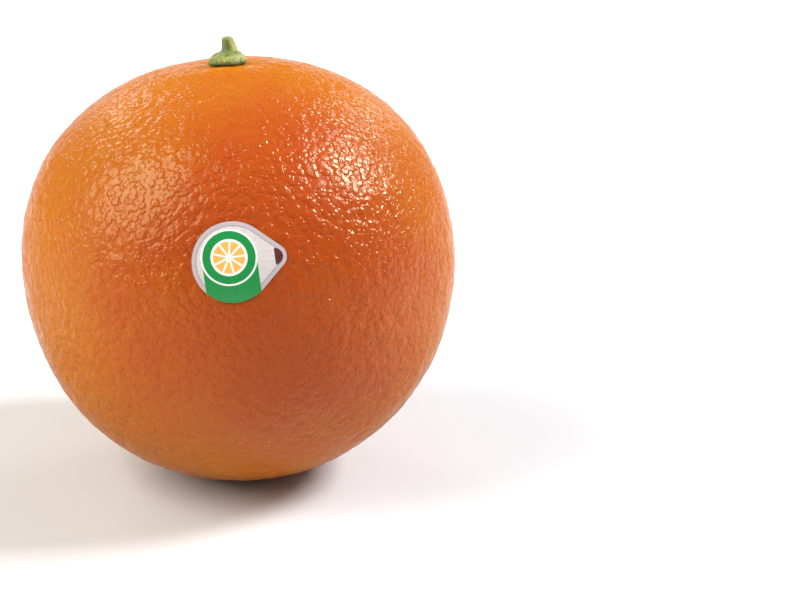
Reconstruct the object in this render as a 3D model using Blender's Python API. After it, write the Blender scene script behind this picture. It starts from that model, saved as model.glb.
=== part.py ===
"""A whole orange that stands by itself: the fruit, its stem button and its fruit sticker.

Metres, +Z up.  The origin is the middle of the flat spot that the fruit stands on, the stem is
at the top and the sticker is on the -Y side.  The peel is one formula, so the stem button and
the sticker find their places on it whatever its size.
"""

import math

import bmesh
import bpy
from mathutils import Matrix, Vector

# Fruit.
FRUIT_WIDTH = 0.0860  # across the waist
FRUIT_HEIGHT = 0.0848  # stem end to blossom end, before the foot is flattened
FOOT_RADIUS = 0.0078  # the flat spot under the fruit
AXIS_LEAN = math.radians(3.8)  # the growing axis leans this far towards -X
SHOULDER_FULLNESS = 0.050  # how far the shoulders swell past a ball, as a share of the radius
PEAR_SHARE = 0.053  # narrows the stem end and fills the blossom end
CROWN_FLATNESS = 0.064  # flattens both ends
HOLLOW_DEPTH = 0.00075  # soft hollow in the shoulder beside the stem button
HOLLOW_WIDTH = 0.0080
HOLLOW_PLACE = (-0.0085, 0.0050)  # from the fruit's middle, in plan

# Stem button: a five-lobed calyx with the stub of the fruit stalk on it.
CALYX_RADIUS = 0.0037
CALYX_LIP = 0.0004  # how far the underside draws in from the rim
CALYX_RIM_HEIGHT = 0.0008
CALYX_HEIGHT = 0.0021
CALYX_LOBES = 5
LOBE_SWELL = 0.05  # how far a lobe stands out, as a share of the radius
STALK_BASE_RADIUS = 0.00160
STALK_TOP_RADIUS = 0.00125
STALK_HEIGHT = 0.0030  # above the calyx
STALK_LEAN = math.radians(8.0)  # towards -X, from the growing axis
STALK_OFFSET = 0.0010  # towards +X, from the middle of the calyx
STALK_OFFSET_EASE = 6  # the higher, the nearer the stalk the calyx starts to follow it
STALK_EDGE = 0.0004  # rounding of the cut end

# Fruit sticker: a round label with a blunt tip.
STICKER_ROUND_RADIUS = 0.0073
STICKER_TIP_RADIUS = 0.0022
STICKER_TIP_REACH = 0.0076  # from the round part's centre to the tip's centre
STICKER_THICKNESS = 0.0003
STICKER_LATITUDE = math.radians(16.6)
STICKER_LONGITUDE = math.radians(-91.85)  # -90 degrees faces -Y
STICKER_TILT = math.radians(8.5)  # the tip points this far above level

CONTACT_GAP = 0.0003  # between pieces that touch
WELD_DISTANCE = 1e-6
SHARP_ANGLE = math.radians(40.0)

# Fineness of the meshes.
FRUIT_MERIDIANS = 60
FRUIT_PARALLELS = 48
STEM_SIDES = 40
UNDERSIDE_RINGS = 4
DOME_RINGS = 4
STICKER_SIDES = 60
STICKER_RINGS = 7

HALF_WIDTH = FRUIT_WIDTH / 2
GROWING_AXIS = Vector((-math.sin(AXIS_LEAN), 0.0, math.cos(AXIS_LEAN)))


def roundness(cosine):
    """Share of the radius at an angle from the growing axis, given the angle's cosine."""
    return (
        1.0
        + SHOULDER_FULLNESS * cosine**2
        - PEAR_SHARE * cosine**3
        - CROWN_FLATNESS * cosine**4
    )


HALF_HEIGHT = FRUIT_HEIGHT / (roundness(1.0) + roundness(-1.0))


def middle_height():
    """Height of the fruit's middle above the foot, so that the foot has its radius."""
    below = roundness(-1.0)
    sine = FOOT_RADIUS / (HALF_WIDTH * below)
    return HALF_HEIGHT * below * math.sqrt(1.0 - sine**2)


MIDDLE = Vector((0.0, 0.0, middle_height()))


def peel_point(direction, lift=0.0):
    """Point on the peel in a direction from the middle, or a height above the peel."""
    way = Vector((direction.x, direction.y, direction.z * HALF_WIDTH / HALF_HEIGHT)).normalized()
    cosine = way.dot(GROWING_AXIS)
    flat = Vector((way.x * HALF_WIDTH, way.y * HALF_WIDTH, way.z * HALF_HEIGHT))
    flat *= roundness(cosine)
    hollow = 0.0
    if cosine > 0.0:
        off_hollow = math.hypot(flat.x - HOLLOW_PLACE[0], flat.y - HOLLOW_PLACE[1])
        hollow = HOLLOW_DEPTH * math.exp(-((off_hollow / HOLLOW_WIDTH) ** 2))
    return MIDDLE + flat + way * (lift - hollow)


def clear_scene():
    """Remove every object."""
    for old in list(bpy.data.objects):
        bpy.data.objects.remove(old, do_unlink=True)


def make_material(name, colour, roughness, metallic=0.0):
    """A Principled material in one colour."""
    material = bpy.data.materials.new(name)
    material.use_nodes = True
    shader = material.node_tree.nodes["Principled BSDF"]
    shader.inputs["Base Color"].default_value = (*colour, 1.0)
    shader.inputs["Roughness"].default_value = roughness
    shader.inputs["Metallic"].default_value = metallic
    return material


def add_object(name, bm, material):
    """Turn a finished bmesh into a smooth shaded object in the scene."""
    mesh = bpy.data.meshes.new(name)
    bm.to_mesh(mesh)
    bm.free()
    mesh.shade_smooth()
    mesh.set_sharp_from_angle(angle=SHARP_ANGLE)
    mesh.materials.append(material)
    obj = bpy.data.objects.new(name, mesh)
    bpy.context.scene.collection.objects.link(obj)
    return obj


def build_fruit():
    """The fruit: a ball drawn out to the peel's formula, cut flat at its foot."""
    bm = bmesh.new()
    bmesh.ops.create_uvsphere(
        bm, u_segments=FRUIT_MERIDIANS, v_segments=FRUIT_PARALLELS, radius=1.0
    )
    for vert in bm.verts:
        # The rings are level at the foot and square to the growing axis at the stem.
        share = (1.0 + vert.co.z) / 2
        vert.co = peel_point(Matrix.Rotation(-AXIS_LEAN * share, 3, "Y") @ vert.co)
    whole = bm.verts[:] + bm.edges[:] + bm.faces[:]
    cut = bmesh.ops.bisect_plane(
        bm, geom=whole, plane_co=(0, 0, 0), plane_no=(0, 0, -1), clear_outer=True
    )
    rim = [item for item in cut["geom_cut"] if isinstance(item, bmesh.types.BMEdge)]
    bmesh.ops.holes_fill(bm, edges=rim, sides=0)
    bmesh.ops.recalc_face_normals(bm, faces=bm.faces)
    peel = make_material("peel", (0.80, 0.22, 0.025), 0.38)
    return add_object("orange_fruit", bm, peel)


def stem_profile():
    """Half outline of the stem button as (radius, height), from under the calyx to the top."""
    underside = CALYX_RADIUS - CALYX_LIP
    outline = [(underside * step / UNDERSIDE_RINGS, 0.0) for step in range(UNDERSIDE_RINGS + 1)]
    outline.append((CALYX_RADIUS, CALYX_LIP))
    for step in range(DOME_RINGS + 1):
        turn = math.pi / 2 * step / DOME_RINGS
        outline.append((
            STALK_BASE_RADIUS + (CALYX_RADIUS - STALK_BASE_RADIUS) * math.cos(turn),
            CALYX_RIM_HEIGHT + (CALYX_HEIGHT - CALYX_RIM_HEIGHT) * math.sin(turn),
        ))
    stalk_top = CALYX_HEIGHT + STALK_HEIGHT
    outline.append((STALK_TOP_RADIUS, stalk_top - STALK_EDGE))
    outline.append((STALK_TOP_RADIUS - STALK_EDGE, stalk_top))
    outline.append((0.0, stalk_top))
    return outline


def build_stem_button():
    """The calyx and stalk stub: a turned outline with lobes, seated on the crown."""
    bm = bmesh.new()
    points = [bm.verts.new((radius, 0.0, height)) for radius, height in stem_profile()]
    lines = [bm.edges.new(pair) for pair in zip(points, points[1:])]
    bmesh.ops.spin(
        bm, geom=points + lines, cent=(0, 0, 0), axis=(0, 0, 1),
        angle=math.tau, steps=STEM_SIDES, use_merge=True,
    )
    bmesh.ops.remove_doubles(bm, verts=bm.verts, dist=WELD_DISTANCE)
    upright = Vector((0.0, 0.0, 1.0)).rotation_difference(GROWING_AXIS).to_matrix()
    seat = peel_point(GROWING_AXIS) - MIDDLE
    for vert in bm.verts:
        height = vert.co.z
        level = Vector((vert.co.x, vert.co.y, 0.0))
        if height < CALYX_HEIGHT:
            level *= 1.0 + LOBE_SWELL * math.cos(CALYX_LOBES * math.atan2(level.y, level.x))
        level.x += STALK_OFFSET * min(1.0, height / CALYX_HEIGHT) ** STALK_OFFSET_EASE
        level.x -= math.tan(STALK_LEAN) * max(0.0, height - CALYX_HEIGHT)
        vert.co = peel_point(seat + upright @ level, CONTACT_GAP) + GROWING_AXIS * height
    bmesh.ops.recalc_face_normals(bm, faces=bm.faces)
    green = make_material("stem_green", (0.30, 0.38, 0.11), 0.55)
    return add_object("stem_button", bm, green)


def sticker_reach(angle):
    """Distance from the round part's centre to the edge, at an angle from the tip."""
    spread = math.acos((STICKER_ROUND_RADIUS - STICKER_TIP_RADIUS) / STICKER_TIP_REACH)
    turned = abs(math.remainder(angle, math.tau))
    tip_start = math.atan2(
        STICKER_TIP_RADIUS * math.sin(spread),
        STICKER_TIP_REACH + STICKER_TIP_RADIUS * math.cos(spread),
    )
    if turned >= spread:
        return STICKER_ROUND_RADIUS
    if turned >= tip_start:
        return STICKER_ROUND_RADIUS / math.cos(spread - turned)
    off_line = STICKER_TIP_REACH * math.sin(turned)
    along = math.sqrt(STICKER_TIP_RADIUS**2 - off_line**2)
    return STICKER_TIP_REACH * math.cos(turned) + along


def ringed_disc(sides, rings):
    """A flat disc of radius 1, made of rings that step in to a small cap."""
    bm = bmesh.new()
    bmesh.ops.create_circle(bm, segments=sides, radius=1.0)
    edges = bm.edges[:]
    for ring in range(rings, 1, -1):
        grown = bmesh.ops.extrude_edge_only(bm, edges=edges)["geom"]
        verts = [item for item in grown if isinstance(item, bmesh.types.BMVert)]
        fresh = set(verts)
        edges = [
            item for item in grown
            if isinstance(item, bmesh.types.BMEdge) and fresh.issuperset(item.verts)
        ]
        shrink = (ring - 1) / ring
        bmesh.ops.scale(bm, vec=(shrink, shrink, 1.0), verts=verts)
    bmesh.ops.contextual_create(bm, geom=edges)
    return bm


def sticker_frame():
    """Outward, right and up directions at the sticker, as seen from outside the fruit."""
    outward = Vector((
        math.cos(STICKER_LATITUDE) * math.cos(STICKER_LONGITUDE),
        math.cos(STICKER_LATITUDE) * math.sin(STICKER_LONGITUDE),
        math.sin(STICKER_LATITUDE),
    ))
    right = Vector((0.0, 0.0, 1.0)).cross(outward).normalized()
    return outward, right, outward.cross(right)


def build_sticker():
    """The sticker: a thin sheet with the label's outline, laid round the peel."""
    bm = ringed_disc(STICKER_SIDES, STICKER_RINGS)
    outward, right, up = sticker_frame()
    bend = (peel_point(outward) - MIDDLE).length
    for vert in bm.verts:
        angle = math.atan2(vert.co.y, vert.co.x)
        arc = vert.co.length * sticker_reach(angle) / bend
        around = right * math.cos(angle + STICKER_TILT) + up * math.sin(angle + STICKER_TILT)
        way = outward * math.cos(arc) + around * math.sin(arc)
        vert.co = peel_point(way, CONTACT_GAP)
    bmesh.ops.recalc_face_normals(bm, faces=bm.faces)
    if next(iter(bm.faces)).normal.dot(outward) < 0.0:
        bmesh.ops.reverse_faces(bm, faces=bm.faces)
    film = make_material("sticker_film", (0.62, 0.60, 0.62), 0.30)
    sticker = add_object("fruit_sticker", bm, film)
    solid = sticker.modifiers.new("Thickness", "SOLIDIFY")
    solid.thickness = STICKER_THICKNESS
    solid.offset = 1.0
    return sticker


def main():
    """Build the three pieces."""
    clear_scene()
    build_fruit()
    build_stem_button()
    build_sticker()


main()
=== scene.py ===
"""Looks of a whole orange: its pitted peel, its stem button, its fruit sticker and the studio.

Metres, +Z up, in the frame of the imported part: the origin is the middle of the flat spot under
the fruit, the stem is at the top and the sticker faces -Y.  Every piece is shaped on one peel
form, which repeats the part's own formula at the size of its fruit node.
"""

import logging
import math
import random
from collections.abc import Iterable, Sequence
from dataclasses import dataclass, field
from enum import Enum

import bmesh
import bpy
from mathutils import Matrix, Vector, kdtree, noise


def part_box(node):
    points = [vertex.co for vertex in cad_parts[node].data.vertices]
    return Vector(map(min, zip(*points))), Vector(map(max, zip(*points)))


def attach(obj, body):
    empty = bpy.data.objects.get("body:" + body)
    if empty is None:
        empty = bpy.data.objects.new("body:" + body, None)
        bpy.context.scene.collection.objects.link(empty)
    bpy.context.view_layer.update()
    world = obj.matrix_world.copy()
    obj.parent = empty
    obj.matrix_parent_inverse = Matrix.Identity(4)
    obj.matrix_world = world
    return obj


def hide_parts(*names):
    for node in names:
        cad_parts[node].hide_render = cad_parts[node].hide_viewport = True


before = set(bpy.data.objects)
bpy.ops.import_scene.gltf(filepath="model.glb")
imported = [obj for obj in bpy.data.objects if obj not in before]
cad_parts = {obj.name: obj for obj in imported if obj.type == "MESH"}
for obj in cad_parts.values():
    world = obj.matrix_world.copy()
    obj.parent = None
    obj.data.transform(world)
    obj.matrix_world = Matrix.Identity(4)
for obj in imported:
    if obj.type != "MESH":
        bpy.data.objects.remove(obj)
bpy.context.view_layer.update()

LOG = logging.getLogger("orange")
BODY = "root"
MM = 0.001
UP = Vector((0.0, 0.0, 1.0))
WELD = 0.001 * MM
WARP_FINENESS = 0.7
MIX_INPUTS = (6, 7)
MIX_OUTPUT = 2
HEXAGON_AREA = math.sqrt(0.75)

Colour = tuple[float, float, float]
Shift = tuple[float, float, float]
Span = tuple[float, float]
Place = tuple[float, float]
Marks = dict[str, list[float]]


def smoothstep(low: float, high: float, value: float) -> float:
    """Ease from 0 at low to 1 at high."""
    share = min(1.0, max(0.0, (value - low) / (high - low)))
    return share * share * (3.0 - 2.0 * share)


def linear(red: int, green: int, blue: int) -> Colour:
    """A colour as a paint shop mixes it, 0 to 255 a channel, as linear light."""
    return tuple(
        (c / 12.92 if c <= 0.04045 else ((c + 0.055) / 1.055) ** 2.4)
        for c in (red / 255, green / 255, blue / 255)
    )


def quarter_turn(steps: int) -> list[float]:
    """Angles that step through a quarter turn and end on it."""
    return [math.pi / 2 * step / steps for step in range(1, steps + 1)]


def gauss_hill(distance: float, width: float) -> float:
    """Height of a soft hill, 1 at its middle, at a distance from it."""
    return math.exp(-((distance / width) ** 2))


def ring_noise(around: float, layer: float, fineness: float) -> float:
    """Noise that runs round an axis and meets itself, each layer with a course of its own."""
    return noise.noise(Vector((math.cos(around), math.sin(around), layer)) * fineness)


# --- The form of the peel ----------------------------------------------------------------------


@dataclass
class PeelForm:
    """The fruit's smooth outer form, before its pits.

    The waist's width comes from the fruit node; the shares are those of the part's design.
    """

    width: float
    foot_radius: float = 7.8 * MM
    axis_lean: float = math.radians(3.8)
    slenderness: float = 0.0848 / 0.0860
    shoulder_fullness: float = 0.050
    pear_share: float = 0.053
    crown_flatness: float = 0.064
    hollow_depth: float = 0.75 * MM
    hollow_width: float = 8.0 * MM
    hollow_place: Place = (-8.5 * MM, 5.0 * MM)
    axis: Vector = field(init=False)
    middle: Vector = field(init=False)
    half_height: float = field(init=False)

    def __post_init__(self) -> None:
        """Work out the growing axis, the half height and the middle's place over the foot."""
        self.axis = Vector((-math.sin(self.axis_lean), 0.0, math.cos(self.axis_lean)))
        ends = self.roundness(1.0) + self.roundness(-1.0)
        self.half_height = self.width * self.slenderness / ends
        below = self.roundness(-1.0)
        sine = self.foot_radius / (self.width / 2 * below)
        rise = self.half_height * below * math.sqrt(1.0 - sine**2)
        self.middle = Vector((0.0, 0.0, rise))

    def roundness(self, cosine: float) -> float:
        """Share of the radius at an angle from the growing axis, given its cosine."""
        return (
            1.0
            + self.shoulder_fullness * cosine**2
            - self.pear_share * cosine**3
            - self.crown_flatness * cosine**4
        )

    def point(self, direction: Vector, lift: float = 0.0) -> Vector:
        """Point on the form, or over it.

        Args:
            direction: The way from the fruit's middle.
            lift: Height over the form.

        Returns:
            The point in the part's frame.
        """
        half = self.width / 2
        rise = direction.z * half / self.half_height
        unit = Vector((direction.x, direction.y, rise)).normalized()
        cosine = unit.dot(self.axis)
        flat = Vector((unit.x * half, unit.y * half, unit.z * self.half_height))
        flat *= self.roundness(cosine)
        hollow = 0.0
        if cosine > 0.0:
            off_hollow = math.hypot(flat.x - self.hollow_place[0], flat.y - self.hollow_place[1])
            hollow = self.hollow_depth * gauss_hill(off_hollow, self.hollow_width)
        return self.middle + flat + unit * (lift - hollow)

    def upright(self) -> Matrix:
        """Turn from a frame whose +Z is the growing axis to the part's frame."""
        return UP.rotation_difference(self.axis).to_matrix()


# --- Node building -----------------------------------------------------------------------------


class Sum(Enum):
    """What a Math node makes of its numbers."""

    ADD = "ADD"
    SUBTRACT = "SUBTRACT"
    MULTIPLY = "MULTIPLY"
    LARGER = "MAXIMUM"
    SIZE = "ABSOLUTE"
    FRACTION = "FRACT"
    ROOT = "SQRT"
    ANGLE = "ARCTAN2"


class Measure(Enum):
    """What a pattern is measured on."""

    PIECE = "Object"
    FLAT_MAP = "UV"


class Nodes:
    """Short ways to place and link the shader nodes of one material."""

    def __init__(self, name: str) -> None:
        """Start a material that holds a Principled shader and its output.

        Args:
            name: The material's name.
        """
        self.material = bpy.data.materials.new(name)
        self.material.use_nodes = True
        self.tree = self.material.node_tree
        self.shader = self.tree.nodes["Principled BSDF"]

    def add(self, kind: str, **settings: object) -> bpy.types.Node:
        """Place a node.

        Args:
            kind: The node's type.
            settings: Its properties.

        Returns:
            The node.
        """
        node = self.tree.nodes.new(kind)
        for key, value in settings.items():
            setattr(node, key, value)
        return node

    def feed(self, socket: bpy.types.NodeSocket, value: object) -> None:
        """Link an output to a socket, or set the socket to a number or colour.

        Args:
            socket: The socket that takes it.
            value: The output, number or colour.
        """
        if isinstance(value, bpy.types.NodeSocket):
            self.tree.links.new(value, socket)
        elif isinstance(value, tuple) and len(socket.default_value) == 4:
            socket.default_value = (*value, 1.0)
        else:
            socket.default_value = value

    def math(self, what: Sum, first: object, second: object = 0.0) -> bpy.types.NodeSocket:
        """Work on two numbers with a Math node.

        Args:
            what: What to make of them.
            first: A number or an output.
            second: Another, where the sum takes two.

        Returns:
            The result.
        """
        node = self.add("ShaderNodeMath", operation=what.value)
        self.feed(node.inputs[0], first)
        self.feed(node.inputs[1], second)
        return node.outputs[0]

    def plus(self, first: object, second: object) -> bpy.types.NodeSocket:
        """Sum of two numbers or outputs."""
        return self.math(Sum.ADD, first, second)

    def minus(self, first: object, second: object) -> bpy.types.NodeSocket:
        """First number or output less the second."""
        return self.math(Sum.SUBTRACT, first, second)

    def times(self, first: object, second: object) -> bpy.types.NodeSocket:
        """Product of two numbers or outputs."""
        return self.math(Sum.MULTIPLY, first, second)

    def ramp(
        self, value: object, low: float, high: float, start: float = 0.0, end: float = 1.0
    ) -> bpy.types.NodeSocket:
        """Ease a number from one value to another.

        Args:
            value: The number or output.
            low: Where the change starts.
            high: Where it ends.
            start: The result at low and under it.
            end: The result at high and over it.

        Returns:
            The eased number.
        """
        node = self.add("ShaderNodeMapRange", interpolation_type="SMOOTHSTEP")
        for place, given in enumerate((value, low, high, start, end)):
            self.feed(node.inputs[place], given)
        return node.outputs[0]

    def mix(self, share: object, first: object, second: object) -> bpy.types.NodeSocket:
        """Mix two colours.

        Args:
            share: How much of the second.
            first: A colour or an output.
            second: Another.

        Returns:
            The mixed colour.
        """
        node = self.add("ShaderNodeMix", data_type="RGBA")
        self.feed(node.inputs["Factor"], share)
        for place, colour in zip(MIX_INPUTS, (first, second)):
            self.feed(node.inputs[place], colour)
        return node.outputs[MIX_OUTPUT]

    def coordinates(self, measure: Measure = Measure.PIECE) -> bpy.types.NodeSocket:
        """Texture coordinates of the piece."""
        return self.add("ShaderNodeTexCoord").outputs[measure.value]

    def noise(
        self, pitch: float, detail: float = 2.0, roughness: float = 0.5
    ) -> bpy.types.NodeSocket:
        """Make cloudy noise in the piece's own space.

        Args:
            pitch: How wide its lumps are.
            detail: How many finer layers it has.
            roughness: How strong the finer layers are.

        Returns:
            The noise, about 0 to 1.
        """
        node = self.add("ShaderNodeTexNoise")
        self.feed(node.inputs["Vector"], self.coordinates())
        node.inputs["Scale"].default_value = 1.0 / pitch
        node.inputs["Detail"].default_value = detail
        node.inputs["Roughness"].default_value = roughness
        return node.outputs["Fac"]

    def warped(self, pitch: float, warp: float) -> bpy.types.NodeSocket:
        """Bend the piece's coordinates with noise.

        Args:
            pitch: Pitch of the pattern that is to be bent.
            warp: How far it is bent, as a share of that pitch.

        Returns:
            The bent coordinates.
        """
        cloud = self.add("ShaderNodeTexNoise")
        cloud.inputs["Scale"].default_value = WARP_FINENESS / pitch
        place = self.coordinates()
        self.feed(cloud.inputs["Vector"], place)
        shift = self.add("ShaderNodeVectorMath", operation="MULTIPLY_ADD")
        self.feed(shift.inputs[0], cloud.outputs["Color"])
        shift.inputs[1].default_value = (2 * warp * pitch,) * 3
        self.feed(shift.inputs[2], place)
        return shift.outputs[0]

    def cells(self, pitch: float, warp: float = 0.0) -> bpy.types.NodeSocket:
        """Make a pattern of cells round scattered points.

        Args:
            pitch: How far apart the points are.
            warp: How far the cells are bent, as a share of the pitch.

        Returns:
            The distance from the nearest point, as a share of the pitch.
        """
        node = self.add("ShaderNodeTexVoronoi", feature="F1")
        place = self.warped(pitch, warp) if warp > 0.0 else self.coordinates()
        self.feed(node.inputs["Vector"], place)
        node.inputs["Scale"].default_value = 1.0 / pitch
        return node.outputs["Distance"]

    def facing(self) -> bpy.types.NodeSocket:
        """0 where the surface faces the eye, 1 where it is seen edge on, for gloss alone."""
        return self.add("ShaderNodeLayerWeight").outputs["Facing"]

    def attribute(self, name: str) -> bpy.types.NodeSocket:
        """A number kept on the mesh's points."""
        return self.add("ShaderNodeAttribute", attribute_name=name).outputs["Fac"]

    def bump(
        self, height: bpy.types.NodeSocket, depth: float, under: object = None
    ) -> bpy.types.NodeSocket:
        """Raise the surface's normal.

        Args:
            height: The relief, 0 to 1.
            depth: How high 1 stands over 0.
            under: A normal that the relief lies on.

        Returns:
            The new normal.
        """
        node = self.add("ShaderNodeBump")
        node.inputs["Strength"].default_value = 1.0
        node.inputs["Distance"].default_value = depth
        self.feed(node.inputs["Height"], height)
        if under is not None:
            self.feed(node.inputs["Normal"], under)
        return node.outputs["Normal"]

    def finish(self, **sockets: object) -> bpy.types.Material:
        """Feed the shader.

        Args:
            sockets: What goes into its sockets, named with underscores for spaces.

        Returns:
            The finished material.
        """
        for key, value in sockets.items():
            self.feed(self.shader.inputs[key.replace("_", " ")], value)
        return self.material


# --- Finishes ----------------------------------------------------------------------------------


@dataclass(frozen=True)
class PeelFinish:
    """Waxy orange peel: mottled colour, oil gland pores and pits darkened partly in their own
    colour and partly as painted shade, and plates, pores and grain in relief.

    The colour runs from bright at the back to deep on the front, partly a deeper tone and partly
    painted shade on the side that faces the camera.  The gloss weakens where the peel is seen
    edge on, so that the table's reflection doesn't wash out its rim.
    """

    bright: Colour = linear(177, 102, 15)
    deep: Colour = linear(165, 65, 17)
    # Oil gland colour, laid into the pores and pits partly as their own colour and partly as
    # painted shade
    gland: Colour = linear(172, 62, 10)
    stem_tint: Colour = linear(206, 128, 30)
    scar: Colour = linear(140, 92, 46)
    shine: Colour = (1.0, 1.0, 0.62)
    # The front is painted deeper, partly as a deeper tone and partly as painted shade
    front_tone_and_shade_pitch: float = 24.0 * MM
    front_tone_and_shade_sway: float = 0.35
    front_tone_and_shade_span: Span = (0.30, 1.0)
    mottle: float = 0.30
    cloud_pitch: float = 16.0 * MM
    cloud_span: Span = (0.32, 0.68)
    cloud_share: float = 0.6
    freckle_pitch: float = 3.2 * MM
    freckle_span: Span = (0.35, 0.65)
    freckle_share: float = 0.4
    # How strongly the pores and pits take the gland colour, partly as painted shade
    gland_and_shade_strength: float = 0.60
    pore_tint: float = 0.35
    pit_tint: float = 0.6
    stem_strength: float = 0.5
    plate_pitch: float = 1.45 * MM
    plate_warp: float = 0.3
    plate_span: Span = (0.36, 0.72)
    plate_depth: float = 0.11 * MM
    pore_pitch: float = 0.9 * MM
    pore_span: Span = (0.10, 0.42)
    pore_depth: float = 0.07 * MM
    grain_pitch: float = 0.4 * MM
    grain_depth: float = 0.006 * MM
    refraction: float = 1.36
    level: float = 0.5
    edge_level: float = 0.09
    edge_span: Span = (0.30, 0.70)
    gloss: Span = (0.18, 0.25)
    gland_roughness: float = 0.10
    glow: float = 0.10
    glow_depth: float = 1.5 * MM
    glow_colour: Colour = (1.0, 0.35, 0.08)

    def colour(
        self, n: Nodes, clouds: bpy.types.NodeSocket, glands_and_shade: bpy.types.NodeSocket
    ) -> bpy.types.NodeSocket:
        """Mix the peel's colour.

        Args:
            n: The material's nodes.
            clouds: The wide mottling, 0 to 1.
            glands_and_shade: How much oil gland and painted pit shade shows, 0 to 1.

        Returns:
            The colour.
        """
        fine = n.noise(self.freckle_pitch, detail=4.0, roughness=0.6)
        freckles = n.ramp(fine, *self.freckle_span)
        # Painted shade and a deeper tone on the front, swayed by noise
        sway = n.times(n.minus(n.noise(self.front_tone_and_shade_pitch), 0.5), self.front_tone_and_shade_sway)
        front_tone_and_shade = n.ramp(n.plus(n.attribute("front"), sway), *self.front_tone_and_shade_span)
        tone = n.plus(n.times(clouds, self.cloud_share), n.times(freckles, self.freckle_share))
        tone = n.times(n.minus(tone, 0.5), self.mottle)
        colour = n.mix(n.plus(front_tone_and_shade, tone), self.bright, self.deep)
        # Oil glands darkened, with painted shade in the pores and pits
        colour = n.mix(n.times(glands_and_shade, self.gland_and_shade_strength), colour, self.gland)
        at_stem = n.times(n.attribute("stem_end"), self.stem_strength)
        colour = n.mix(at_stem, colour, self.stem_tint)
        return n.mix(n.attribute("scar"), colour, self.scar)

    def relief(self, n: Nodes, pores: bpy.types.NodeSocket) -> bpy.types.NodeSocket:
        """Lay the finest relief over the modelled pits: flat plates, pores and grain.

        Args:
            n: The material's nodes.
            pores: 1 in a pore, 0 outside.

        Returns:
            The normal.
        """
        plates = n.ramp(n.cells(self.plate_pitch, self.plate_warp), *self.plate_span, 1.0, 0.0)
        normal = n.bump(plates, self.plate_depth)
        normal = n.bump(n.minus(1.0, pores), self.pore_depth, normal)
        return n.bump(n.noise(self.grain_pitch), self.grain_depth, normal)

    def material(self) -> bpy.types.Material:
        """Build the peel's material.

        Returns:
            The material.
        """
        n = Nodes("peel")
        clouds = n.ramp(n.noise(self.cloud_pitch, detail=3.0), *self.cloud_span)
        pores = n.ramp(n.cells(self.pore_pitch), *self.pore_span, 1.0, 0.0)
        # The pits' modelled depth darkens the colour: painted shade in the pits
        pits = n.times(n.attribute("crevice"), self.pit_tint)
        glands_and_shade = n.math(Sum.LARGER, n.times(pores, self.pore_tint), pits)
        gloss = n.ramp(clouds, 0.0, 1.0, *self.gloss)
        return n.finish(
            Base_Color=self.colour(n, clouds, glands_and_shade),
            Roughness=n.plus(gloss, n.times(glands_and_shade, self.gland_roughness)),
            Normal=self.relief(n, pores),
            IOR=self.refraction,
            Specular_Tint=self.shine,
            Specular_IOR_Level=n.ramp(n.facing(), *self.edge_span, self.level, self.edge_level),
            Subsurface_Weight=self.glow,
            Subsurface_Scale=self.glow_depth,
            Subsurface_Radius=self.glow_colour,
        )


@dataclass(frozen=True)
class StemFinish:
    """Green calyx and stalk: mottled, wrinkled, with painted shade in its folds and a stalk
    painted lighter on one side and in shade on the other, with its own cut end.
    """

    pale: Colour = linear(190, 187, 94)
    green: Colour = linear(108, 122, 42)
    shade: Colour = linear(66, 92, 34)
    stalk: Colour = linear(124, 136, 48)
    cut: Colour = linear(128, 138, 56)
    blotch_pitch: float = 0.30 * MM
    blotch_span: Span = (0.43, 0.60)
    # Where the stalk's lit side is painted pale, a painted highlight
    painted_highlight_span: Span = (0.62, 1.05)
    stalk_strength: float = 0.8
    wrinkle_pitch: float = 0.30 * MM
    wrinkle_depth: float = 0.20 * MM
    gloss_span: Span = (0.3, 0.7)
    gloss: Span = (0.28, 0.52)
    glow: float = 0.08
    glow_depth: float = 0.6 * MM

    def colour(self, n: Nodes) -> bpy.types.NodeSocket:
        """Mix the stem button's colour.

        Args:
            n: The material's nodes.

        Returns:
            The colour.
        """
        cloud = n.noise(self.blotch_pitch, detail=4.0, roughness=0.75)
        colour = n.mix(n.ramp(cloud, *self.blotch_span), self.green, self.pale)
        # Painted light and shade on the stalk: shaded on one side, lighter and then pale toward
        # its lit side
        painted_light_side = n.mix(n.attribute("painted_light_side"), self.shade, self.stalk)
        painted_light_side = n.mix(n.ramp(n.attribute("painted_light_side"), *self.painted_highlight_span), painted_light_side, self.pale)
        colour = n.mix(n.times(n.attribute("stalk"), self.stalk_strength), colour, painted_light_side)
        # Painted shade in the folds: under the rim, at the neck, between knobs and in the stalk's
        # grooves
        colour = n.mix(n.attribute("fold"), colour, self.shade)
        return n.mix(n.attribute("cut"), colour, self.cut)

    def material(self) -> bpy.types.Material:
        """Build the stem button's material.

        Returns:
            The material.
        """
        n = Nodes("stem_green")
        wrinkles = n.noise(self.wrinkle_pitch, detail=4.0, roughness=0.65)
        return n.finish(
            Base_Color=self.colour(n),
            Roughness=n.ramp(wrinkles, *self.gloss_span, *self.gloss),
            Normal=n.bump(wrinkles, self.wrinkle_depth),
            Subsurface_Weight=self.glow,
            Subsurface_Scale=self.glow_depth,
        )


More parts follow.
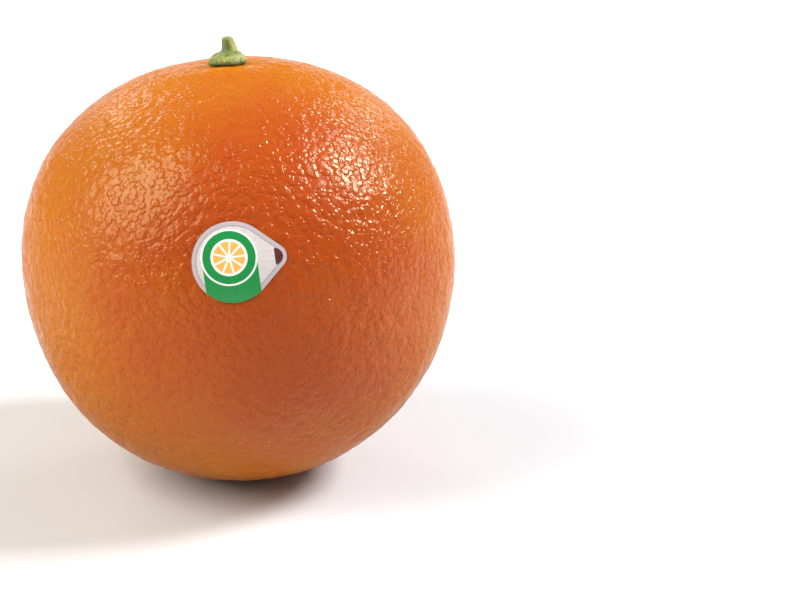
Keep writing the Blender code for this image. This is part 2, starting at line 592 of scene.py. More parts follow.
@dataclass(frozen=True)
class LabelFinish:
    """Printed label film: pale ground, green field and a medallion with a plain citrus wheel."""

    film: Colour = linear(212, 203, 201)
    edge: Colour = linear(184, 174, 176)
    line: Colour = linear(138, 126, 140)
    green: Colour = linear(8, 136, 62)
    white: Colour = linear(238, 243, 234)
    flesh: Colour = linear(236, 176, 84)
    brown: Colour = linear(84, 36, 32)
    edge_width: float = 0.80 * MM
    line_width: float = 0.07 * MM
    field_top: float = -0.4 * MM
    field_half_width: float = 4.9 * MM
    disc_radius: float = 4.75 * MM
    disc_place: Place = (-0.5 * MM, 0.9 * MM)
    ring_width: float = 0.32 * MM
    wheel_radius: float = 3.3 * MM
    wheel_peel: float = 0.45 * MM
    segments: int = 9
    membrane: float = 0.22 * MM
    dot_radius: float = 1.5 * MM
    softness: float = 0.06 * MM
    silver_pitch: float = 0.5 * MM
    silver_span: Span = (0.35, 0.65)
    silver_strength: float = 0.35
    crinkle_pitch: float = 0.9 * MM
    crinkle_depth: float = 0.03 * MM
    gloss_span: Span = (0.3, 0.7)
    gloss: Span = (0.26, 0.36)
    coat: float = 0.3
    coat_roughness: float = 0.15

    def inside(self, n: Nodes, distance: object, limit: float) -> bpy.types.NodeSocket:
        """1 where a distance is under a limit, 0 past it, with the print's soft edge."""
        return n.ramp(distance, limit - self.softness, limit + self.softness, 1.0, 0.0)

    def distance(
        self, n: Nodes, across: object, along: object, place: Place
    ) -> bpy.types.NodeSocket:
        """Measure the distance on the label from a place on it.

        Args:
            n: The material's nodes.
            across: Place across the label.
            along: Place along it.
            place: The place to measure from.

        Returns:
            The distance.
        """
        x = n.minus(across, place[0])
        y = n.minus(along, place[1])
        return n.math(Sum.ROOT, n.plus(n.times(x, x), n.times(y, y)))

    def film_colour(self, n: Nodes) -> bpy.types.NodeSocket:
        """Mix the bare film: pale, faintly silvered, with a darker border behind a thin line.

        Args:
            n: The material's nodes.

        Returns:
            The colour.
        """
        border = n.attribute("border")
        cloud = n.noise(self.silver_pitch, detail=3.0)
        silver = n.ramp(cloud, *self.silver_span, 0.0, self.silver_strength)
        colour = n.mix(silver, self.film, self.edge)
        colour = n.mix(self.inside(n, border, self.edge_width), colour, self.edge)
        off_line = n.math(Sum.SIZE, n.minus(border, self.edge_width))
        return n.mix(self.inside(n, off_line, self.line_width), colour, self.line)

    def wheel(
        self, n: Nodes, across: object, along: object, reach: object
    ) -> bpy.types.NodeSocket:
        """Draw the segments of the citrus wheel.

        Args:
            n: The material's nodes.
            across: Place across the label.
            along: Place along it.
            reach: Distance from the wheel's middle.

        Returns:
            1 on the segments, 0 on the membranes and the peel.
        """
        x = n.minus(across, self.disc_place[0])
        y = n.minus(along, self.disc_place[1])
        turn = n.times(n.math(Sum.ANGLE, y, x), self.segments / math.tau)
        part = n.math(Sum.SIZE, n.minus(n.math(Sum.FRACTION, turn), 0.5))
        from_membrane = n.minus(0.5, part)
        arc = n.times(from_membrane, n.times(reach, math.tau / self.segments))
        body = n.ramp(arc, self.membrane / 2, self.membrane / 2 + 2 * self.softness)
        return n.times(body, self.inside(n, reach, self.wheel_radius - self.wheel_peel))

    def print_colour(
        self, n: Nodes, across: object, along: object, tip_place: float
    ) -> bpy.types.NodeSocket:
        """Print the green field, the medallion with its wheel and the dark half disc on the film.

        Args:
            n: The material's nodes.
            across: Place across the label.
            along: Place along it.
            tip_place: Distance of the tip's centre from the round part's centre.

        Returns:
            The colour.
        """
        off_middle = n.math(Sum.SIZE, n.minus(across, self.disc_place[0]))
        low = self.inside(n, along, self.field_top)
        ground = n.times(low, self.inside(n, off_middle, self.field_half_width))
        colour = n.mix(ground, self.film_colour(n), self.green)
        reach = self.distance(n, across, along, self.disc_place)
        outer = self.inside(n, reach, self.disc_radius + self.ring_width)
        colour = n.mix(outer, colour, self.white)
        colour = n.mix(self.inside(n, reach, self.disc_radius), colour, self.green)
        colour = n.mix(self.inside(n, reach, self.wheel_radius), colour, self.white)
        colour = n.mix(self.wheel(n, across, along, reach), colour, self.flesh)
        dot = self.inside(n, self.distance(n, across, along, (tip_place, 0.0)), self.dot_radius)
        half = n.minus(1.0, self.inside(n, across, tip_place))
        return n.mix(n.times(dot, half), colour, self.brown)

    def material(self, map_width: float, tip_place: float) -> bpy.types.Material:
        """Build the label's material on its own flat map.

        Args:
            map_width: The width on the label that the whole map covers.
            tip_place: Distance of the tip's centre from the round part's centre.

        Returns:
            The material.
        """
        n = Nodes("label_print")
        axes = n.add("ShaderNodeSeparateXYZ")
        n.feed(axes.inputs[0], n.coordinates(Measure.FLAT_MAP))
        across, along = (
            n.times(n.minus(socket, 0.5), map_width) for socket in axes.outputs[:2]
        )
        crinkle = n.noise(self.crinkle_pitch)
        return n.finish(
            Base_Color=self.print_colour(n, across, along, tip_place),
            Roughness=n.ramp(crinkle, *self.gloss_span, *self.gloss),
            Normal=n.bump(crinkle, self.crinkle_depth),
            Coat_Weight=self.coat,
            Coat_Roughness=self.coat_roughness,
        )


@dataclass(frozen=True)
class TableFinish:
    """Matt white table top with a faint, wide cloudiness."""

    low: Colour = linear(207, 207, 207)
    high: Colour = linear(211, 211, 211)
    cloud_pitch: float = 120.0 * MM
    cloud_span: Span = (0.3, 0.7)
    roughness: float = 0.7

    def material(self) -> bpy.types.Material:
        """Build the table's material.

        Returns:
            The material.
        """
        n = Nodes("table_white")
        clouds = n.ramp(n.noise(self.cloud_pitch), *self.cloud_span)
        return n.finish(Base_Color=n.mix(clouds, self.low, self.high), Roughness=self.roughness)


# --- Pieces ------------------------------------------------------------------------------------


def make_piece(name: str, mesh: bpy.types.Mesh, material: bpy.types.Material) -> bpy.types.Object:
    """Put a finished mesh in the scene as a smooth piece of one material.

    Args:
        name: The piece's name.
        mesh: Its mesh.
        material: Its material.

    Returns:
        The piece.
    """
    mesh.name = name
    mesh.shade_smooth()
    mesh.materials.append(material)
    piece = bpy.data.objects.new(name, mesh)
    bpy.context.scene.collection.objects.link(piece)
    return piece


def to_mesh(bm: bmesh.types.BMesh, name: str, marks: Marks | None = None) -> bpy.types.Mesh:
    """Turn a finished bmesh into a mesh.

    Args:
        bm: The bmesh, which is freed.
        name: The mesh's name.
        marks: Numbers to keep on its points, a list for each name.

    Returns:
        The mesh.
    """
    mesh = bpy.data.meshes.new(name)
    bm.to_mesh(mesh)
    bm.free()
    for mark, numbers in (marks or {}).items():
        mesh.attributes.new(mark, "FLOAT", "POINT").data.foreach_set("value", numbers)
    return mesh


def install(piece: bpy.types.Object, node: str) -> None:
    """Let a piece ride with the part and stand for its node, whose part is hidden.

    Args:
        piece: The piece.
        node: The node that it stands for.
    """
    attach(piece, BODY)
    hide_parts(node)
    LOG.info("%s: %d faces", piece.name, len(piece.data.polygons))


def point_tree(points: Sequence[Vector]) -> kdtree.KDTree:
    """Sort points into a search tree.

    Args:
        points: The points.

    Returns:
        The tree, which numbers them as they came.
    """
    tree = kdtree.KDTree(len(points))
    for index, point in enumerate(points):
        tree.insert(point, index)
    tree.balance()
    return tree


@dataclass
class EvenSpread:
    """Directions spread evenly over a ball, but in no visible order.

    They start on a spiral, are shaken, and then close neighbours push each other apart.
    """

    count: int
    seed: int
    shake: float = 0.32
    push: float = 0.35
    rounds: int = 4
    neighbours: int = 7
    least_gap: float = 1e-9
    spacing: float = field(init=False)

    def __post_init__(self) -> None:
        """Work out how far apart neighbours are on a ball of radius 1."""
        self.spacing = math.sqrt(2 * math.tau / self.count)

    def shaken_spiral(self) -> list[Vector]:
        """Wind a spiral of points round the ball and shake each one.

        Returns:
            The directions, as unit vectors.
        """
        draw = random.Random(self.seed)
        golden = math.pi * (3.0 - math.sqrt(5.0))
        spots = []
        for place in range(self.count):
            height = 1.0 - (2 * place + 1) / self.count
            ring = math.sqrt(1.0 - height**2)
            turn = golden * place
            spot = Vector((ring * math.cos(turn), ring * math.sin(turn), height))
            shake = Vector([draw.gauss(0.0, self.shake * self.spacing) for _ in range(3)])
            spots.append((spot + shake).normalized())
        return spots

    def pushed(self, spot: Vector, tree: kdtree.KDTree) -> Vector:
        """Push a direction away from its close neighbours.

        Args:
            spot: The direction.
            tree: All directions.

        Returns:
            The new direction.
        """
        push = Vector()
        for near, _, gap in tree.find_n(spot, self.neighbours):
            if gap > self.least_gap:
                push += (spot - near) / gap * max(0.0, self.spacing - gap)
        return (spot + self.push * push).normalized()

    def spots(self) -> list[Vector]:
        """Spread the directions.

        Returns:
            The directions, as unit vectors.
        """
        spots = self.shaken_spiral()
        for _ in range(self.rounds):
            tree = point_tree(spots)
            spots = [self.pushed(spot, tree) for spot in spots]
        return spots


@dataclass
class FruitSkin:
    """The peel: a ball of even faces with swells, lumps, oil gland pits and stem creases."""

    form: PeelForm
    finish: PeelFinish = PeelFinish()
    cuts: int = 127
    seed: int = 7
    swell: float = 0.30 * MM
    swell_pitch: float = 30.0 * MM
    swell_shift: Shift = (4.1, 7.3, 1.7)
    lump: float = 0.12 * MM
    lump_pitch: float = 5.0 * MM
    cobble: float = 0.13 * MM
    cobble_pitch: float = 1.95 * MM
    cobble_shift: Shift = (2.0, 5.0, 8.0)
    pit_pitch: float = 1.45 * MM
    pit_depth: float = 0.12 * MM
    pit_depth_spread: Span = (0.2, 1.2)
    pit_radius: float = 0.46 * MM
    pits_near: int = 3
    calm_span: Span = (1.5 * MM, 5.0 * MM)
    stem_tint_span: Span = (3.0 * MM, 9.0 * MM)
    dip_depth: float = 0.34 * MM
    dip_width: float = 3.6 * MM
    dip_place: Place = (4.2 * MM, -2.2 * MM)
    crease_count: int = 9
    crease_depth: float = 0.30 * MM
    crease_start: float = 3.0 * MM
    crease_end: float = 13.0 * MM
    crease_wander: float = 0.6
    crease_twist: float = 260.0
    crease_drift: float = 1.3
    crease_layer: float = 3.0
    crease_unevenness: float = 0.6
    crease_strength_layer: float = 9.0
    crease_strength_fineness: float = 1.4
    foot_softness: float = 0.16 * MM
    scar_radius: float = 2.0 * MM
    scar_core: float = 0.55
    scar_raggedness: float = 0.5
    scar_fineness: float = 60.0
    scar_depth: float = 0.35 * MM
    # Way of the front that the colour paints deeper, partly as painted shade
    front_tone_and_shade_way: Vector = field(default_factory=lambda: Vector((0.20, -0.96, 0.20)))

    def smooth_height(self, way: Vector) -> float:
        """Find the height of the swells, the lumps and the dip that the stem button sits in.

        What lies on the peel follows it.

        Args:
            way: The way from the fruit's middle, of length 1.

        Returns:
            The height over the form.
        """
        place = way * (self.form.width / 2)
        swell = noise.noise(place / self.swell_pitch + Vector(self.swell_shift))
        lump = noise.noise(place / self.lump_pitch)
        local = self.form.upright().transposed() @ place
        dip = 0.0
        if local.z > 0.0:
            off_dip = math.hypot(local.x - self.dip_place[0], local.y - self.dip_place[1])
            dip = self.dip_depth * gauss_hill(off_dip, self.dip_width)
        return self.swell * swell + self.lump * lump - dip

    def stem_distance(self, way: Vector) -> tuple[float, float]:
        """Find where a way meets the peel as seen along the growing axis.

        Args:
            way: The way from the fruit's middle, of length 1.

        Returns:
            The distance from the axis, which is the fruit's width on its lower half, and the
            angle round it.
        """
        local = self.form.upright().transposed() @ way
        if local.z <= 0.0:
            return self.form.width, 0.0
        return math.hypot(local.x, local.y) * self.form.width / 2, math.atan2(local.y, local.x)

    def crease(self, distance: float, around: float) -> float:
        """Find the height of the creases that run out from under the stem button.

        Args:
            distance: Distance from the growing axis.
            around: Angle round it.

        Returns:
            The height, 0 or less.
        """
        if distance > self.crease_end:
            return 0.0
        fade = 1.0 - smoothstep(self.crease_start, self.crease_end, distance)
        course = Vector((
            distance * self.crease_twist, around * self.crease_drift, self.crease_layer
        ))
        wander = self.crease_wander * noise.noise(course)
        ridge = 0.5 + 0.5 * math.cos(self.crease_count * (around + wander))
        uneven = ring_noise(around, self.crease_strength_layer, self.crease_strength_fineness)
        strength = self.crease_unevenness + self.crease_unevenness * uneven
        return -self.crease_depth * fade * strength * (1.0 - ridge) ** 3

    def scar(self, way: Vector) -> float:
        """Find how much of the blossom end's scar a way meets.

        Args:
            way: The way from the fruit's middle, of length 1.

        Returns:
            The share, from 0 outside to 1 in the middle.
        """
        distance = (way + self.form.axis).length * self.form.width / 2
        uneven = 1.0 + self.scar_raggedness * noise.noise(way * self.scar_fineness)
        ragged = self.scar_radius * uneven
        return 1.0 - smoothstep(self.scar_core * ragged, ragged, distance)

    def ball(self) -> bmesh.types.BMesh:
        """Blow a cube of even faces up to a ball of radius 1, so that no pole shows.

        Returns:
            The ball.
        """
        bm = bmesh.new()
        bmesh.ops.create_cube(bm, size=2.0)
        bmesh.ops.subdivide_edges(bm, edges=bm.edges, cuts=self.cuts, use_grid_fill=True)
        for vert in bm.verts:
            vert.co = Vector([math.tan(part * math.pi / 4) for part in vert.co]).normalized()
        return bm

    def settle(self, spot: Vector, scar: float) -> Vector:
        """Ease a point up to the flat spot that the fruit rests on, and into the scar there."""
        soft = math.hypot(spot.z, self.foot_softness)
        return Vector((spot.x, spot.y, (spot.z + soft) / 2 + self.scar_depth * scar))

    def build(self) -> bpy.types.Object:
        """Shape the peel and put it in the place of the fruit node.

        Returns:
            The piece.
        """
        radius = self.form.width / 2
        count = round(2 * math.tau * radius**2 / (HEXAGON_AREA * self.pit_pitch**2))
        pits = EvenSpread(count, self.seed).spots()
        draw = random.Random(self.seed + 1)
        depths = [draw.uniform(*self.pit_depth_spread) for _ in pits]
        pit_tree = point_tree(pits)
        marks = {"crevice": [], "stem_end": [], "scar": [], "front": []}
        bm = self.ball()
        for vert in bm.verts:
            way = vert.co.copy()
            distance, around = self.stem_distance(way)
            scar = self.scar(way)
            calm = smoothstep(*self.calm_span, distance) * (1.0 - scar)
            crevice = calm * sum(
                depths[index] * gauss_hill(gap * radius, self.pit_radius)
                for _, index, gap in pit_tree.find_n(way, self.pits_near)
            )
            cobble_place = way * radius / self.cobble_pitch + Vector(self.cobble_shift)
            height = (
                self.smooth_height(way)
                + self.cobble * (calm * noise.noise(cobble_place))
                - self.pit_depth * crevice
                + self.crease(distance, around)
            )
            vert.co = self.settle(self.form.point(way, height), scar)
            # Pit depth, which the material darkens partly as painted shade
            marks["crevice"].append(min(1.0, crevice))
            marks["stem_end"].append(1.0 - smoothstep(*self.stem_tint_span, distance))
            marks["scar"].append(scar)
            # How far a point faces the front, which the material paints deeper, partly as painted
            # shade
            marks["front"].append(way.dot(self.front_tone_and_shade_way))
        mesh = to_mesh(bm, "fruit_skin", marks)
        piece = make_piece("fruit_skin", mesh, self.finish.material())
        install(piece, "orange_fruit")
        return piece


@dataclass
class StemButton:
    """The calyx and the stub of the fruit stalk: a turned outline, lobed, folded and cut.

    The stalk span counts in heights of the calyx, the under span in heights of its rim and the
    cut's margin in widths of the stalk's rounded edge.  The folds are depths of shade.
    """

    skin: FruitSkin
    finish: StemFinish = StemFinish()
    calyx_radius: float = 3.7 * MM
    calyx_lip: float = 0.5 * MM
    rim_height: float = 0.85 * MM
    rim_share: float = 0.6
    calyx_height: float = 2.1 * MM
    lobes: int = 5
    lobe_phase: float = 0.6
    lobe_swell: float = 0.05
    lobe_unevenness: float = 0.10
    lobe_layer: float = 2.0
    lobe_fineness: float = 1.7
    skirt: float = 0.08
    skirt_way: float = math.radians(-45.0)
    knob: float = 0.22 * MM
    knob_pitch: float = 0.80 * MM
    knob_on_stalk: float = 0.4
    stalk_base: float = 1.85 * MM
    stalk_waist: float = 1.28 * MM
    stalk_top: float = 1.16 * MM
    stalk_height: float = 3.0 * MM
    stalk_lean: float = math.radians(8.0)
    stalk_offset: float = 1.0 * MM
    stalk_edge: float = 0.75 * MM
    # Way round the stalk of its painted lit side; the far side is painted in shade
    painted_light_way: float = math.radians(-10.0)
    flutes: int = 6
    flute_depth: float = 0.06
    flute_twist: float = 250.0
    dent_depth: float = 0.06
    dent_pitch: float = 1.1 * MM
    dent_shift: Shift = (0.0, 3.0, 0.0)
    stalk_span: Span = (0.75, 1.25)
    under_span: Span = (0.3, 1.3)
    neck_width: float = 0.35 * MM
    under_fold: float = 0.95
    neck_fold: float = 0.35
    hollow_fold: float = 1.1
    groove_fold: float = 0.5
    cut_dish: float = 0.06 * MM
    cut_margin: float = 0.2
    clearance: float = 0.02 * MM
    flat_steps: int = 6
    rim_steps: int = 6
    dome_steps: int = 14
    stalk_steps: int = 16
    edge_steps: int = 4
    sides: int = 120

    def profile(self) -> list[Place]:
        """Draw the half outline, from under the calyx to the middle of the cut.

        Returns:
            Its points as (radius, height).
        """
        under = self.calyx_radius - self.calyx_lip
        shoulder = self.rim_height * self.rim_share
        dome = self.calyx_radius - self.stalk_base
        run = self.stalk_height - self.stalk_edge
        top = self.calyx_height + self.stalk_height
        face = self.stalk_top - self.stalk_edge
        line = [(under * step / self.flat_steps, 0.0) for step in range(self.flat_steps + 1)]
        for turn in quarter_turn(self.rim_steps):
            out = under + self.calyx_lip * math.sin(turn)
            line.append((out, shoulder * (1.0 - math.cos(turn))))
        for turn in quarter_turn(self.dome_steps):
            rise = shoulder + (self.calyx_height - shoulder) * math.sin(turn)
            line.append((self.stalk_base + dome * math.cos(turn), rise))
        for step in range(1, self.stalk_steps + 1):
            share = step / self.stalk_steps
            waist = self.stalk_waist + (self.stalk_base - self.stalk_waist) * (1.0 - share) ** 3
            bell = (self.stalk_top - self.stalk_waist) * share**4
            line.append((waist + bell, self.calyx_height + run * share))
        for turn in quarter_turn(self.edge_steps):
            out = self.stalk_top - self.stalk_edge * (1.0 - math.cos(turn))
            line.append((out, top - self.stalk_edge * (1.0 - math.sin(turn))))
        for step in range(1, self.flat_steps + 1):
            share = 1.0 - step / self.flat_steps
            line.append((face * share, top - self.cut_dish * (1.0 - share**2)))
        return line

    def turned(self) -> bmesh.types.BMesh:
        """Turn the outline round the growing axis.

        Returns:
            The plain stem button, standing on its own origin.
        """
        bm = bmesh.new()
        points = [bm.verts.new((radius, 0.0, height)) for radius, height in self.profile()]
        lines = [bm.edges.new(pair) for pair in zip(points, points[1:])]
        bmesh.ops.spin(
            bm, geom=points + lines, cent=(0, 0, 0), axis=(0, 0, 1),
            angle=math.tau, steps=self.sides, use_merge=True,
        )
        bmesh.ops.remove_doubles(bm, verts=bm.verts, dist=WELD)
        return bm

    def on_stalk(self, height: float) -> float:
        """How far a height has left the calyx for the stalk, from 0 to 1."""
        low, high = self.stalk_span
        return smoothstep(low * self.calyx_height, high * self.calyx_height, height)

    def lobe(self, around: float) -> float:
        """Find how far the calyx swells, with its lobes and its wider front right.

        Args:
            around: Angle round the growing axis.

        Returns:
            The swelling, as a share of the radius.
        """
        uneven = ring_noise(around, self.lobe_layer, self.lobe_fineness)
        lobe = self.lobe_swell * math.cos(self.lobes * around + self.lobe_phase)
        lobe += self.skirt * math.cos(around - self.skirt_way)
        return lobe + self.lobe_unevenness * uneven

    def flute(self, spot: Vector, around: float) -> float:
        """Find how far the stalk swells between its twisted flutes and shallow dents.

        Args:
            spot: The point on the plain stem button.
            around: Its angle round the growing axis.

        Returns:
            The swelling, as a share of the radius.
        """
        turn = self.flutes * around + self.flute_twist * spot.z
        dent = noise.noise(spot / self.dent_pitch + Vector(self.dent_shift))
        return self.flute_depth * math.cos(turn) + self.dent_depth * dent

    def bulge(self, spot: Vector) -> float:
        """Height of the small knobs over a point on the plain stem button."""
        return self.knob * noise.noise(spot / self.knob_pitch, noise_basis="PERLIN_ORIGINAL")

    def fold(self, height: float, bulge: float, flute: float) -> float:
        """Find how deep in a fold a point lies, which sets its painted shade: under the rim, at
        the neck or between knobs.

        Args:
            height: Height on the plain stem button.
            bulge: Height of the knobs there.
            flute: Swelling of the stalk there.

        Returns:
            The share, from 0 on the open surface to 1 in a fold.
        """
        on_stalk = self.on_stalk(height)
        low, high = self.under_span
        under = 1.0 - smoothstep(low * self.rim_height, high * self.rim_height, height)
        neck = gauss_hill(height - self.calyx_height, self.neck_width)
        hollow = max(0.0, -bulge / self.knob) * (1.0 - on_stalk)
        groove = max(0.0, -flute / self.flute_depth) * on_stalk
        calyx = self.under_fold * under + self.neck_fold * neck + self.hollow_fold * hollow
        return min(1.0, calyx + self.groove_fold * groove)

    def cut(self, radius: float, height: float) -> float:
        """Find how much a point belongs to the cut end.

        Args:
            radius: Its distance from the axis on the plain stem button.
            height: Its height there.

        Returns:
            The share, from 0 to 1.
        """
        top = self.calyx_height + self.stalk_height
        margin = self.cut_margin * self.stalk_edge
        face = smoothstep(top - self.stalk_edge, top - margin, height)
        return face if radius < self.stalk_top else 0.0

    def seated(self, level: Vector, rise: float) -> Vector:
        """Seat a point on the peel, over the end of the growing axis.

        Args:
            level: Its place across the axis.
            rise: Its height over the peel.

        Returns:
            The point in the part's frame.
        """
        form = self.skin.form
        seat = form.point(form.axis) - form.middle
        way = (seat + form.upright() @ level).normalized()
        lift = self.skin.smooth_height(way) + self.clearance
        return form.point(way, lift) + form.axis * rise

    def build(self) -> bpy.types.Object:
        """Turn the outline, shape its lobes and stalk, and seat it on the peel.

        Returns:
            The piece.
        """
        bm = self.turned()
        marks = {"fold": [], "cut": [], "stalk": [], "painted_light_side": []}
        for vert in bm.verts:
            height = vert.co.z
            level = Vector((vert.co.x, vert.co.y, 0.0))
            radius, around = level.length, math.atan2(level.y, level.x)
            on_stalk = self.on_stalk(height)
            flute = self.flute(vert.co, around)
            bulge = self.bulge(vert.co)
            level *= 1.0 + self.lobe(around) * (1.0 - on_stalk) + flute * on_stalk
            over = max(0.0, height - self.calyx_height)
            level.x += self.stalk_offset * on_stalk - math.tan(self.stalk_lean) * over
            fade = 1.0 - (1.0 - self.knob_on_stalk) * on_stalk
            knob = bulge * smoothstep(0.0, self.rim_height, height) * fade
            vert.co = self.seated(level, height + knob)
            # Fold depth, which the material paints as shade
            marks["fold"].append(self.fold(height, bulge, flute))
            marks["cut"].append(self.cut(radius, height))
            marks["stalk"].append(on_stalk)
            # How far a point faces the stalk's painted lit side
            marks["painted_light_side"].append(0.5 + 0.5 * math.cos(around - self.painted_light_way))
        bmesh.ops.recalc_face_normals(bm, faces=bm.faces)
        mesh = to_mesh(bm, "stem_calyx", marks)
        piece = make_piece("stem_calyx", mesh, self.finish.material())
        install(piece, "stem_button")
        return piece


@dataclass
class Label:
    """The fruit sticker: a thin film, round with a blunt tip, laid over the peel."""

    skin: FruitSkin
    finish: LabelFinish = LabelFinish()
    round_radius: float = 7.3 * MM
    tip_radius: float = 2.2 * MM
    tip_reach: float = 7.6 * MM
    thickness: float = 0.12 * MM
    clearance: float = 0.05 * MM
    latitude: float = math.radians(16.6)
    longitude: float = math.radians(-91.85)
    tilt: float = math.radians(8.5)
    sharp_angle: float = math.radians(40.0)
    halvings: int = 30
    sides: int = 144
    rings: int = 28
    map_width: float = 24.0 * MM

    def border(self, x: float, y: float) -> float:
        """Measure the distance in from the label's edge.

        Args:
            x: Place on the flat label, toward the tip.
            y: Place across it.

        Returns:
            The distance, less than 0 outside.
        """
        lean = (self.round_radius - self.tip_radius) / self.tip_reach
        rise = math.sqrt(1.0 - lean**2)
        off = abs(y)
        along = rise * x - lean * off
        if along < 0.0:
            return self.round_radius - math.hypot(x, off)
        if along > rise * self.tip_reach:
            return self.tip_radius - math.hypot(x - self.tip_reach, off)
        return self.round_radius - (rise * off + lean * x)

    def reach(self, angle: float) -> float:
        """Measure the distance from the round part's centre to the edge.

        Args:
            angle: Angle from the tip.

        Returns:
            The distance.
        """
        low, high = 0.0, self.tip_reach + self.tip_radius
        for _ in range(self.halvings):
            middle = (low + high) / 2
            inside = self.border(middle * math.cos(angle), middle * math.sin(angle)) > 0.0
            low, high = (middle, high) if inside else (low, middle)
        return low

    def axes(self) -> tuple[Vector, Vector, Vector]:
        """Find the label's own directions on the fruit.

        Returns:
            Outward, right and up, as seen from outside the fruit.
        """
        flat = math.cos(self.latitude)
        outward = Vector((
            flat * math.cos(self.longitude), flat * math.sin(self.longitude),
            math.sin(self.latitude),
        ))
        right = UP.cross(outward).normalized()
        return outward, right, outward.cross(right)

    def flat_disc(self) -> bmesh.types.BMesh:
        """Cut the label lying flat, in rings that step in to a small cap.

        Returns:
            The label without thickness, facing +Z.
        """
        bm = bmesh.new()
        bmesh.ops.create_circle(bm, segments=self.sides, radius=1.0)
        edges = bm.edges[:]
        for ring in range(self.rings, 1, -1):
            grown = bmesh.ops.extrude_edge_only(bm, edges=edges)["geom"]
            verts = [item for item in grown if isinstance(item, bmesh.types.BMVert)]
            fresh = set(verts)
            edges = [
                item for item in grown
                if isinstance(item, bmesh.types.BMEdge) and fresh.issuperset(item.verts)
            ]
            shrink = (ring - 1) / ring
            bmesh.ops.scale(bm, vec=(shrink, shrink, 1.0), verts=verts)
        bmesh.ops.contextual_create(bm, geom=edges)
        for vert in bm.verts:
            vert.co *= self.reach(math.atan2(vert.co.y, vert.co.x))
        bmesh.ops.recalc_face_normals(bm, faces=bm.faces)
        if sum(face.normal.z for face in bm.faces) < 0.0:
            bmesh.ops.reverse_faces(bm, faces=bm.faces)
        return bm

    def film(self) -> bmesh.types.BMesh:
        """Thicken the flat label and give it its flat map.

        Returns:
            The flat label.
        """
        bm = self.flat_disc()
        bmesh.ops.solidify(bm, geom=bm.faces[:], thickness=self.thickness)
        flat_map = bm.loops.layers.uv.new("flat")
        for face in bm.faces:
            for loop in face.loops:
                spot = loop.vert.co / self.map_width
                loop[flat_map].uv = (spot.x + 0.5, spot.y + 0.5)
        return bm

    def build(self) -> bpy.types.Object:
        """Cut the label, thicken it and lay it over the peel.

        Returns:
            The piece.
        """
        bm = self.film()
        top = max(vert.co.z for vert in bm.verts)
        form = self.skin.form
        outward, right, up = self.axes()
        bend = (form.point(outward) - form.middle).length
        marks = {"border": []}
        for vert in bm.verts:
            marks["border"].append(self.border(vert.co.x, vert.co.y))
            angle = math.atan2(vert.co.y, vert.co.x) + self.tilt
            arc = math.hypot(vert.co.x, vert.co.y) / bend
            around = right * math.cos(angle) + up * math.sin(angle)
            way = outward * math.cos(arc) + around * math.sin(arc)
            lift = self.thickness + vert.co.z - top + self.clearance
            vert.co = form.point(way, self.skin.smooth_height(way) + lift)
        bmesh.ops.recalc_face_normals(bm, faces=bm.faces)
        mesh = to_mesh(bm, "fruit_label", marks)
        mesh.set_sharp_from_angle(angle=self.sharp_angle)
        material = self.finish.material(self.map_width, self.tip_reach)
        piece = make_piece("fruit_label", mesh, material)
        install(piece, "fruit_sticker")
        return piece


# --- Studio ------------------------------------------------------------------------------------


NEUTRAL = (1.0, 1.0, 1.0)
WARM = (1.0, 0.97, 0.90)
COOL = (0.98, 1.0, 1.05)


@dataclass(frozen=True)
class SoftBox:
    """A rectangular studio light that faces the fruit.

    Its azimuth is 0 at +X and 90 at +Y, and both angles are in degrees.
    """

    name: str
    azimuth: float
    elevation: float
    width: float
    height: float
    brightness: float
    colour: Colour = NEUTRAL
    distance: float = 2.0

    def build(self, target: Vector) -> None:
        """Hang the light round a point that it faces.

        Args:
            target: The point.
        """
        turn, rise = math.radians(self.azimuth), math.radians(self.elevation)
        way = Vector((
            math.cos(rise) * math.cos(turn), math.cos(rise) * math.sin(turn), math.sin(rise)
        ))
        light = bpy.data.lights.new(self.name, "AREA")
        light.shape = "RECTANGLE"
        light.size, light.size_y = self.width, self.height
        light.energy = self.brightness * math.pi * self.width * self.height
        light.color = self.colour
        box = bpy.data.objects.new(self.name, light)
        box.location = target + way * self.distance
        box.rotation_euler = way.to_track_quat("Z", "Y").to_euler()
        bpy.context.scene.collection.objects.link(box)


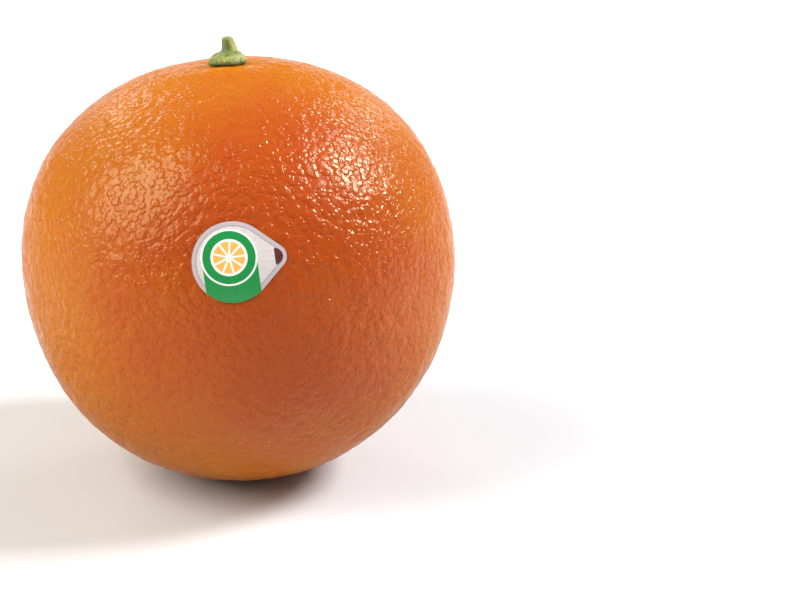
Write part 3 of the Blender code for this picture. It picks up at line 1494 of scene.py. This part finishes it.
@dataclass
class Studio:
    """White table, soft boxes, white surroundings that dim toward the back, and the camera."""

    target: Vector
    table_finish: TableFinish = TableFinish()
    table_size: float = 6.0
    table_drop: float = 0.02 * MM
    lens: float = 85.0
    near_limit: float = 0.01
    camera_distance: float = 0.381
    camera_elevation: float = math.radians(17.5)
    camera_pan: float = math.radians(4.84)
    camera_tilt: float = math.radians(1.23)
    front_light: float = 0.30
    back_light: float = 0.15
    back_span: Span = (0.75, 1.0)

    def boxes(self) -> Iterable[SoftBox]:
        """List the soft boxes of the set.

        Returns:
            The boxes, one by one.
        """
        yield SoftBox(
            "left_box", azimuth=197.0, elevation=39.0,
            width=1.35, height=1.60, brightness=8.4, colour=WARM,
        )
        yield SoftBox(
            "back_left_box", azimuth=118.0, elevation=26.0,
            width=0.50, height=0.56, brightness=6.5, colour=WARM,
        )
        yield SoftBox(
            "back_right_box", azimuth=58.0, elevation=26.0,
            width=0.50, height=0.56, brightness=7.5,
        )
        yield SoftBox(
            "rim_box", azimuth=90.0, elevation=6.0,
            width=2.2, height=0.26, brightness=1.9,
        )
        yield SoftBox(
            "right_box", azimuth=5.0, elevation=42.0,
            width=0.64, height=0.64, brightness=46.0, colour=COOL,
        )

    def build_table(self) -> None:
        """The pale table top that the fruit rests on."""
        bm = bmesh.new()
        bmesh.ops.create_grid(bm, x_segments=1, y_segments=1, size=self.table_size / 2)
        bmesh.ops.translate(bm, vec=(0, 0, -self.table_drop), verts=bm.verts)
        mesh = to_mesh(bm, "table_top")
        make_piece("table_top", mesh, self.table_finish.material())

    def build_world(self) -> None:
        """White surroundings, dimmer straight behind the fruit, where its rim reflects them."""
        world = bpy.data.worlds.new("studio")
        world.use_nodes = True
        bpy.context.scene.world = world
        nodes, links = world.node_tree.nodes, world.node_tree.links
        back = nodes["Background"]
        way = nodes.new("ShaderNodeTexCoord").outputs["Generated"]
        axes = nodes.new("ShaderNodeSeparateXYZ")
        links.new(way, axes.inputs[0])
        shade = nodes.new("ShaderNodeMapRange")
        shade.interpolation_type = "SMOOTHSTEP"
        links.new(axes.outputs[1], shade.inputs[0])
        steps = (*self.back_span, self.front_light, self.back_light)
        for place, value in enumerate(steps, start=1):
            shade.inputs[place].default_value = value
        back.inputs["Color"].default_value = (*NEUTRAL, 1.0)
        links.new(shade.outputs[0], back.inputs["Strength"])

    def build_camera(self) -> None:
        """The camera, turned so that the fruit sits left of and above the view's middle."""
        look = Vector((0.0, math.cos(self.camera_elevation), -math.sin(self.camera_elevation)))
        data = bpy.data.cameras.new("camera")
        data.lens = self.lens
        data.clip_start = self.near_limit
        camera = bpy.data.objects.new("camera", data)
        camera.location = self.target - look * self.camera_distance
        aim = look.to_track_quat("-Z", "Y").to_matrix()
        pan = Matrix.Rotation(-self.camera_pan, 3, "Y")
        tilt = Matrix.Rotation(-self.camera_tilt, 3, "X")
        camera.rotation_euler = (aim @ pan @ tilt).to_euler()
        bpy.context.scene.collection.objects.link(camera)
        bpy.context.scene.camera = camera

    def build(self) -> None:
        """Set up everything round the fruit."""
        self.build_table()
        self.build_world()
        for box in self.boxes():
            box.build(self.target)
        self.build_camera()
        bpy.context.scene.view_settings.view_transform = "Standard"
        LOG.info("studio: camera %.0f mm from the fruit's middle", self.camera_distance / MM)


def main() -> None:
    """Build the pieces and the studio."""
    logging.basicConfig(level=logging.INFO, format="%(name)s: %(message)s")
    low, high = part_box("orange_fruit")
    form = PeelForm(width=high.x - low.x)
    skin = FruitSkin(form)
    skin.build()
    StemButton(skin).build()
    Label(skin).build()
    Studio(form.middle).build()


if __name__ == "__main__":
    main()
